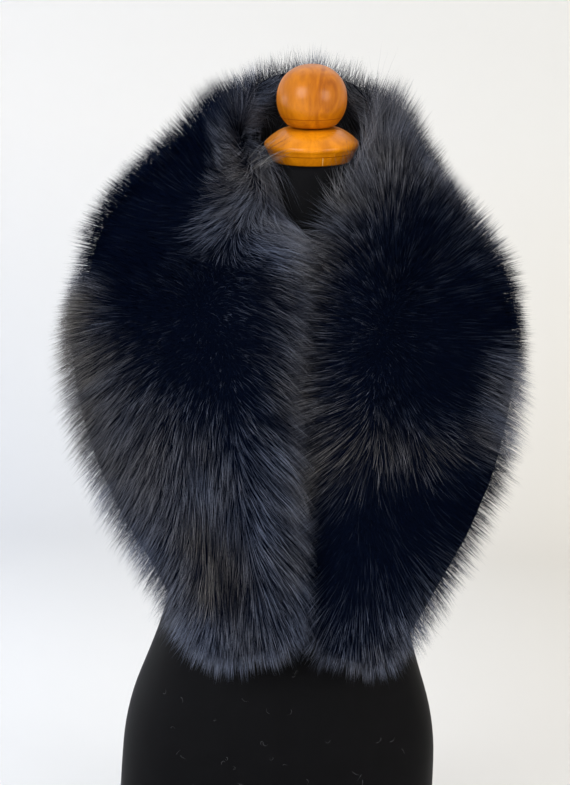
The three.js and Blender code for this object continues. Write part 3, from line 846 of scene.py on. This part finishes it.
def grown(tree, skin, name, values):
    """The plain mesh that a tree grows on a skin."""
    holder = new_object(name, skin.data.copy())
    bare_mesh = holder.data
    modifier = holder.modifiers.new("grow", "NODES")
    modifier.node_group = tree
    names = {item.name: item.identifier for item in tree.interface.items_tree if item.in_out == "INPUT"}
    for key, value in values.items():
        modifier[names[key]] = value
    depsgraph = bpy.context.evaluated_depsgraph_get()
    mesh = bpy.data.meshes.new_from_object(
        holder.evaluated_get(depsgraph), preserve_all_data_layers=True, depsgraph=depsgraph,
    )
    holder.modifiers.remove(modifier)
    holder.data = mesh
    mesh.name = name
    bpy.data.meshes.remove(bare_mesh)
    return holder


def new_material(name, values):
    """A material with its shader's plain values, and what adds the nodes that feed the rest."""
    material = bpy.data.materials.new(name)
    material.use_nodes = True
    nodes = Nodes(material.node_tree)
    material.node_tree.nodes.clear()
    shader = nodes.add("ShaderNodeBsdfPrincipled", values)
    nodes.add("ShaderNodeOutputMaterial", {"Surface": shader.outputs[0]})
    return material, nodes, shader


def object_place(nodes):
    return nodes.add("ShaderNodeTexCoord").outputs["Object"]


def bump(nodes, strength, distance, height):
    inputs = {"Strength": strength, "Distance": distance, "Height": height}
    return nodes.add("ShaderNodeBump", inputs).outputs[0]


def attribute(nodes, name):
    return nodes.add("ShaderNodeAttribute", attribute_name=name).outputs["Fac"]


def blend_colour(nodes, share, low, high):
    node = nodes.add("ShaderNodeMix", data_type="RGBA")
    nodes.feed(node.inputs["Factor"], share)
    nodes.feed(node.inputs[6], low)
    nodes.feed(node.inputs[7], high)
    return node.outputs[2]


def hair_material(name, strength, roughness):
    """Dyed black hair: black where it stands up, and a blue or brown sheen painted into its colour where it
    lies flat; the painted sheen fades towards the root, so the root is darker.
    """
    material, nodes, shader = new_material(name, {"Roughness": roughness})
    along, shade, painted_sheen, brown = (attribute(nodes, key) for key in ("along", "shade", "painted_sheen", "brown"))
    # The painted sheen grows from the root to the tip, and each hair and lock takes more or less of it
    rise = nodes.plus(0.15, nodes.times(nodes.math("POWER", along, 0.7), 0.85))
    patchy = nodes.plus(0.2, nodes.times(nodes.math("POWER", shade, 4.0), 5.2))
    painted_sheen = nodes.above(painted_sheen, 0.02)
    lit = nodes.times(nodes.math("POWER", painted_sheen, 1.5), strength)
    # A few hairs carry a painted sheen even where the rest of the hair is black
    strand = nodes.times(nodes.above(shade, 0.66), 0.8)
    share = nodes.math("MINIMUM", nodes.times(rise, nodes.plus(nodes.times(patchy, lit), strand)), 1.0)
    # The painted sheen's colour, blue or brown, is mixed into the black of the dye
    tint = blend_colour(nodes, brown, BLUE_PAINTED_SHEEN, BROWN_PAINTED_SHEEN)
    colour = blend_colour(nodes, share, BLACK_HAIR, tint)
    sheen = nodes.above(nodes.times(share, 0.7), 0.03)
    fade = nodes.math("MINIMUM", nodes.times(painted_sheen, 8.0), 1.0)
    nodes.fill(shader, {"Base Color": colour, "Specular IOR Level": nodes.times(sheen, fade)})
    return material


def underfur_material():
    """Matt black wool that swallows the light."""
    material, nodes, shader = new_material("black_underfur", {"Roughness": 0.95, "Specular IOR Level": 0.0})
    curl = nodes.noise(object_place(nodes), 900.0, 4.0)
    colour = blend_colour(nodes, curl, *BLACK_WOOL)
    nodes.fill(shader, {"Base Color": colour, "Normal": bump(nodes, 0.8, 0.002, curl)})
    return material


def leather_material():
    """Dyed suede with a fine nap and broad lighter patches."""
    material, nodes, shader = new_material("dyed_suede", {"Roughness": 0.9, "Specular IOR Level": 0.1})
    place = object_place(nodes)
    nap, patches = nodes.noise(place, 420.0, 5.0), nodes.noise(place, 22.0, 3.0)
    share = nodes.plus(nodes.times(nap, 0.5), nodes.times(patches, 0.5))
    colour = blend_colour(nodes, share, *BLACK_SUEDE)
    nodes.fill(shader, {"Base Color": colour, "Normal": bump(nodes, 0.5, 0.0006, nap)})
    return material


def jersey_material():
    """Black jersey: ribs and rows of fine knit in bump, and a faint haze."""
    material, nodes, shader = new_material("black_jersey", {
        "Roughness": 0.55,
        "Specular IOR Level": 0.04,
        "Sheen Weight": 0.008,
        "Sheen Roughness": 0.4,
        "Sheen Tint": (0.85, 0.88, 1.0, 1),
    })
    place = object_place(nodes)
    parts = nodes.parts(place)
    ribs = nodes.math("SINE", nodes.times(parts["X"], 5200.0))
    rows = nodes.math("SINE", nodes.times(parts["Z"], 4300.0))
    haze = nodes.noise(place, 60.0, 6.0)
    colour = blend_colour(nodes, haze, *BLACK_JERSEY)
    nodes.fill(shader, {"Base Color": colour, "Normal": bump(nodes, 0.25, 0.0003, nodes.times(ribs, rows))})
    return material


def line_mask(nodes, value, place, width):
    """1 on a thin line where a value passes a place, fading to 0 at its width."""
    far = nodes.math("ABSOLUTE", nodes.minus(value, place))
    limits = {"Value": far, "From Min": width, "From Max": width * 0.4}
    return nodes.add("ShaderNodeMapRange", limits).outputs[0]


def wood_colour(nodes, place, knob_only):
    """Amber with upright grain and soft clouds, and painted shade that makes the knob darker than the cap."""
    stretched = nodes.add("ShaderNodeMapping", {"Vector": place, "Scale": (1.0, 1.0, 0.12)}).outputs[0]
    fine = nodes.noise(stretched, 300.0, 6.0, Roughness=0.6)
    broad = nodes.noise(stretched, 46.0, 3.0, Distortion=1.6)
    clouds = nodes.noise(place, 34.0, 2.0)
    grain = nodes.plus(nodes.times(fine, 0.5), nodes.times(broad, 1.1))
    grain = nodes.plus(grain, nodes.times(clouds, 0.5))
    # Painted shade: the knob's wood is set darker than the cap's
    grain = nodes.minus(grain, nodes.times(knob_only, 0.34))
    return blend_colour(nodes, nodes.minus(grain, 0.31), *AMBER)


def wood_material():
    """Varnished amber wood, with a figure and a low line on the knob, and a line and a crack on the cap."""
    material, nodes, shader = new_material("amber_varnish", {
        "Roughness": 0.5,
        "Specular IOR Level": 0.12,
        "Specular Tint": (1.0, 0.75, 0.35, 1),
        "Coat Weight": 0.4,
        "Coat Roughness": 0.26,
    })
    place = object_place(nodes)
    parts = nodes.parts(place)
    up = nodes.vector("DOT_PRODUCT", nodes.vector("SUBTRACT", place, WOOD_BASE), WOOD_AXIS)
    knob_only = nodes.math("GREATER_THAN", up, KNOB_FROM)
    colour = wood_colour(nodes, place, knob_only)

    bend = nodes.times(nodes.math("SINE", nodes.times(up, 75.0)), 0.003)
    figure = nodes.times(line_mask(nodes, nodes.minus(parts["X"], bend), 0.004, 0.0028), knob_only)
    marks = nodes.math("MAXIMUM", nodes.times(figure, 0.45), line_mask(nodes, up, KNOB_LINE, LINE_WIDTH))
    marks = nodes.math("MAXIMUM", marks, line_mask(nodes, up, BAND_LINE, LINE_WIDTH))
    colour = blend_colour(nodes, nodes.times(marks, 0.8), colour, DARK_AMBER)

    band_only = nodes.math("LESS_THAN", up, BAND_LINE - 0.0004)
    crack = nodes.times(line_mask(nodes, parts["X"], CRACK_ACROSS, 0.0005), band_only)
    crack = nodes.times(crack, nodes.math("LESS_THAN", parts["Y"], 0.0))
    nodes.fill(shader, {"Base Color": blend_colour(nodes, crack, colour, BARE_WOOD)})
    return material


def lint_material():
    return new_material("pale_lint", {"Base Color": PALE_LINT, "Roughness": 0.8})[0]


def smooth_copy(node, name, levels, sharp_degrees):
    """A merged, smoothly subdivided copy of a solid, to stand in its place."""
    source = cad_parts[node]
    made = bmesh.new()
    made.from_mesh(source.data)
    bmesh.ops.remove_doubles(made, verts=made.verts, dist=1e-5)
    bmesh.ops.dissolve_limit(made, angle_limit=math.radians(0.5), verts=made.verts, edges=made.edges)
    bmesh.ops.triangulate(made, faces=[face for face in made.faces if 4 < len(face.verts) < 12])
    limits = {"angle_face_threshold": math.radians(40), "angle_shape_threshold": math.radians(180)}
    bmesh.ops.join_triangles(made, faces=made.faces, **limits)
    crease = made.edges.layers.float.new("crease_edge")
    for edge in made.edges:
        if len(edge.link_faces) == 2 and edge.calc_face_angle() > math.radians(sharp_degrees):
            edge[crease] = 1.0
    mesh = bpy.data.meshes.new(name)
    made.to_mesh(mesh)
    made.free()
    piece = new_object(name, mesh)
    rounder = piece.modifiers.new("round", "SUBSURF")
    rounder.levels = rounder.render_levels = levels
    shade_smooth(piece)
    return piece


def finish_piece(piece, material, slot, *nodes):
    if not piece.data.materials:
        piece.data.materials.append(material)
    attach(piece, "root")
    if nodes:
        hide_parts(*nodes)


def make_camera():
    data = bpy.data.cameras.new("camera")
    data.sensor_width = SENSOR_HEIGHT  # the picture is upright, so its longer side is its height
    data.lens = data.sensor_width * CAMERA_DISTANCE / VIEW_HEIGHT
    camera = new_object("camera", data)
    back = Vector((0, -math.cos(CAMERA_ELEVATION), math.sin(CAMERA_ELEVATION)))
    right = Vector((1, 0, 0))
    up = back.cross(right)
    turn = Matrix((right, up, back)).transposed()
    roll = Matrix.Rotation(CAMERA_ROLL, 3, "Z")
    camera.matrix_world = Matrix.Translation(CAMERA_TARGET + back * CAMERA_DISTANCE) @ (turn @ roll).to_4x4()
    bpy.context.scene.camera = camera


def make_stage():
    """A pale dish, open at the top, that is floor and backdrop from every side, with painted light and shade
    in its colour.
    """
    profile = [(0.001, FLOOR_HEIGHT), (DISH_FLOOR, FLOOR_HEIGHT)]
    for step in range(1, DISH_STEPS + 1):
        angle = math.pi / 2 * step / DISH_STEPS
        height = DISH_BEND * (1 - math.cos(angle)) + FLOOR_HEIGHT
        profile.append((DISH_FLOOR + DISH_BEND * math.sin(angle), height))
    profile.append((DISH_FLOOR + DISH_BEND, DISH_TOP))
    around = np.linspace(0, 2 * math.pi, DISH_SIDES, endpoint=False)
    points = [(r * math.cos(a), r * math.sin(a), z) for r, z in profile for a in around]
    faces = []
    for first in range(0, DISH_SIDES * (len(profile) - 1), DISH_SIDES):
        for side in range(DISH_SIDES):
            here, after = first + side, first + (side + 1) % DISH_SIDES
            faces.append((here, after, after + DISH_SIDES, here + DISH_SIDES))
    faces.append(tuple(range(DISH_SIDES - 1, -1, -1)))
    dish = mesh_object("pale_dish", points, faces)
    shade_smooth(dish)

    material, nodes, shader = new_material("pale_plaster", {"Roughness": 0.95})
    parts = nodes.parts(object_place(nodes))
    # Painted light: the dish's colour turns from cool on the left, under the window, to warm on the right,
    # under the lamp
    across = {"Value": parts["X"], "From Min": -1.0, "From Max": 1.0}
    painted_warm_light = nodes.add("ShaderNodeMapRange", across).outputs[0]
    # Painted shade: it is darker low down, where it is floor, than high up, where it is wall
    up = {"Value": parts["Z"], "From Min": -0.2, "From Max": 1.2}
    height = nodes.add("ShaderNodeMapRange", up).outputs[0]
    floor, wall = blend_colour(nodes, painted_warm_light, *FLOOR), blend_colour(nodes, painted_warm_light, *WALL)
    nodes.fill(shader, {"Base Color": blend_colour(nodes, height, floor, wall)})
    dish.data.materials.append(material)


def make_lights():
    lights = [
        # name, place, size, watts, colour
        ("window", (-1.4, -2.0, 1.2), 1.3, 46, (0.92, 0.96, 1.0)),
        ("lamp", (1.6, -1.7, 1.0), 1.1, 26, (1.0, 0.94, 0.86)),
        ("above", (0.0, 0.6, 2.4), 1.8, 9, (0.97, 0.98, 1.0)),
        ("side", (-1.9, 0.5, 0.4), 1.0, 16, (0.95, 0.97, 1.0)),
    ]
    for name, place, size, watts, colour in lights:
        data = bpy.data.lights.new(name, "AREA")
        data.shape = "SQUARE"
        data.size, data.energy, data.color = size, watts, colour
        lamp = new_object(name, data)
        lamp.location = place
        lamp.rotation_euler = (LIT_PLACE - Vector(place)).to_track_quat("-Z", "Y").to_euler()
    world = bpy.data.worlds.new("sky")
    world.use_nodes = True
    ground = world.node_tree.nodes["Background"]
    ground.inputs["Color"].default_value = (0.93, 0.96, 1.0, 1)
    ground.inputs["Strength"].default_value = 0.8
    bpy.context.scene.world = world
    bpy.context.scene.view_settings.view_transform = "Standard"


make_camera()
make_stage()
make_lights()

# The second value is how strongly the sheen is painted into each hair's colour
guard_hair = hair_material("black_guard_hair", 3.4, 0.42)
soft_hair = hair_material("black_soft_hair", 2.8, 0.55)
wool, suede = underfur_material(), leather_material()
tree = hair_tree()
PELTS = [("left", -1, LEFT_EDGES), ("right", 1, RIGHT_EDGES)]
# What each kind of hair says for HAIR_INPUTS, down to its material
HAIR_KINDS = {
    "guard_hair": ("front_cover", 67000.0, 0.009, 0.18, 0.00019, 1.08, 0.70, 0.08, guard_hair),
    "soft_hair": ("front_cover", 67000.0, 0.006, 0.18, 0.00019, 0.80, 0.38, 0.10, soft_hair),
    "back_hair": ("back_cover", 49000.0, 0.009, 0.25, 0.00026, 1.00, 0.50, 0.10, guard_hair),
}
for side_name, side, edges in PELTS:
    pelt = Pelt(side, edges, f"fur_{side_name}")
    wool_body = underfur(pelt, f"underfur_{side_name}")
    skin = leather(pelt, f"pelt_{side_name}")
    hairs = []
    for number, (kind, row) in enumerate(HAIR_KINDS.items()):
        values = dict(zip(HAIR_INPUTS, (*row, HAIR_BENDS, FIRST_SEED + number)))
        hair = grown(tree, wool_body, f"{kind}_{side_name}", values)
        print(hair.name, "triangles", sum(len(face.vertices) - 2 for face in hair.data.polygons))
        finish_piece(hair, values["Material"], "fur")
        hairs.append(hair)
    if side_name == "left":
        hairs.append(cap_wisps(wool_body))
        finish_piece(hairs[-1], guard_hair, "fur")
    finish_piece(wool_body, wool, "fur")
    finish_piece(skin, suede, "fur", f"fur_{side_name}")

jersey, varnish = jersey_material(), wood_material()
finish_piece(lint(), lint_material(), "jersey")
finish_piece(smooth_copy("dress_form", "jersey_cover", 1, 50), jersey, "jersey", "dress_form")
finish_piece(smooth_copy("neck_cap", "turned_cap", 1, 28), varnish, "wood", "neck_cap")
finish_piece(smooth_copy("neck_knob", "turned_knob", 1, 50), varnish, "wood", "neck_knob")
